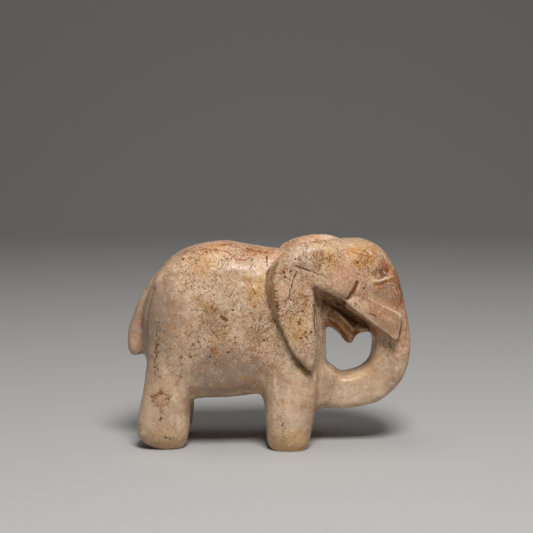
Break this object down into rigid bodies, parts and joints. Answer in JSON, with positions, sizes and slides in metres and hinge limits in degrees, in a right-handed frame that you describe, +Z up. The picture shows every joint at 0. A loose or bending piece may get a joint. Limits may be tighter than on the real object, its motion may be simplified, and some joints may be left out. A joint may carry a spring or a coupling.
{
  "type": "elephant figurine",
  "caption": "Stout stone elephant standing on its feet, trunk curled down and back to the forelegs with a round opening behind it, for display on a shelf or desk.",
  "frame": {"origin": "centre of the figure's length and width, at the floor that the feet stand on", "axes": "+X the way the elephant faces, +Y its left side, +Z up"},
  "size_m": [0.1273, 0.0514, 0.0926],
  "materials": {
    "soapstone": "worn satin polish"
  },
  "bodies": {
    "root": {"elephant": "soapstone"}
  },
  "joints": []
}
